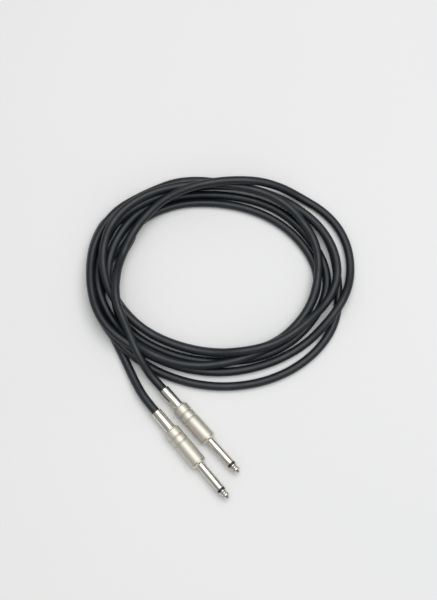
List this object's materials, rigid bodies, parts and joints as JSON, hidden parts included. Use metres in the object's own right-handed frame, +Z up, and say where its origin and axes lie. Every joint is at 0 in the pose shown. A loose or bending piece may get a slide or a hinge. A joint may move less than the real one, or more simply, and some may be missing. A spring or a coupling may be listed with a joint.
{
  "type": "instrument cable",
  "caption": "Coiled round instrument cable with a straight 6.35 mm two-pole plug on each end, with metal shells that unscrew.",
  "frame": {"origin": "on the resting surface, under the middle of the pair of plugs", "axes": "+X along plug A towards its tip, +Z up from the resting surface; the coil lies towards -X and +Y"},
  "size_m": [0.2161, 0.2021, 0.022],
  "materials": {
    "cable_jacket": "matte extruded PVC",
    "satin_nickel": "satin nickel plate",
    "polished_nickel": "polished nickel plate",
    "black_insulator": "moulded",
    "hard_paper": "punched phenolic paper",
    "tinned_brass": "tin plate on punched brass",
    "core_insulation": "extruded polyethylene",
    "copper": "bare copper strands",
    "solder": "bright solder",
    "liner": "thin extruded tube"
  },
  "bodies": {
    "cable": {"cable_coil": "cable_jacket", "cable_lead_a": "cable_jacket", "cable_lead_b": "cable_jacket", "cable_end_a": "cable_jacket", "cable_end_b": "cable_jacket", "plug_a_tip_contact": "polished_nickel", "plug_a_tip_insulator": "black_insulator", "plug_a_sleeve_contact": "polished_nickel", "plug_a_rear_insulator": "hard_paper", "plug_a_tip_lug": "tinned_brass", "plug_a_ground_lug": "tinned_brass", "plug_a_core_insulation": "core_insulation", "plug_a_core_wire": "copper", "plug_a_shield_pigtail": "copper", "plug_a_tip_solder": "solder", "plug_a_ground_solder": "solder", "plug_b_tip_contact": "polished_nickel", "plug_b_tip_insulator": "black_insulator", "plug_b_sleeve_contact": "polished_nickel", "plug_b_rear_insulator": "hard_paper", "plug_b_tip_lug": "tinned_brass", "plug_b_ground_lug": "tinned_brass", "plug_b_core_insulation": "core_insulation", "plug_b_core_wire": "copper", "plug_b_shield_pigtail": "copper", "plug_b_tip_solder": "solder", "plug_b_ground_solder": "solder"},
    "plug_a_liner": {"plug_a_liner": "liner"},
    "plug_a_shell": {"plug_a_shell": "satin_nickel", "plug_a_tail_tube": "polished_nickel"},
    "plug_b_liner": {"plug_b_liner": "liner"},
    "plug_b_shell": {"plug_b_shell": "satin_nickel", "plug_b_tail_tube": "polished_nickel"}
  },
  "joints": [
    {"name": "plug_a_shell_travel", "type": "slide", "parent": "cable", "child": "plug_a_liner", "axis": [-1, 0, 0], "range_m": [0, 0.00501]},
    {"name": "plug_a_shell_turn", "type": "hinge", "parent": "plug_a_liner", "child": "plug_a_shell", "pos_m": [-0.012, 0.0084, 0.0059], "axis": [-1, 0, 0], "range_deg": [0, 1800]},
    {"name": "plug_b_shell_travel", "type": "slide", "parent": "cable", "child": "plug_b_liner", "axis": [-0.9993, 0.0366, 0], "range_m": [0, 0.00501]},
    {"name": "plug_b_shell_turn", "type": "hinge", "parent": "plug_b_liner", "child": "plug_b_shell", "pos_m": [-0.00342, -0.00781, 0.0059], "axis": [-0.9993, 0.0366, 0], "range_deg": [0, 1800]}
  ],
  "couplings": [
    {"joint": "plug_a_shell_travel", "follows": "plug_a_shell_turn", "m_per_rad": 0.00015915},
    {"joint": "plug_b_shell_travel", "follows": "plug_b_shell_turn", "m_per_rad": 0.00015915}
  ]
}
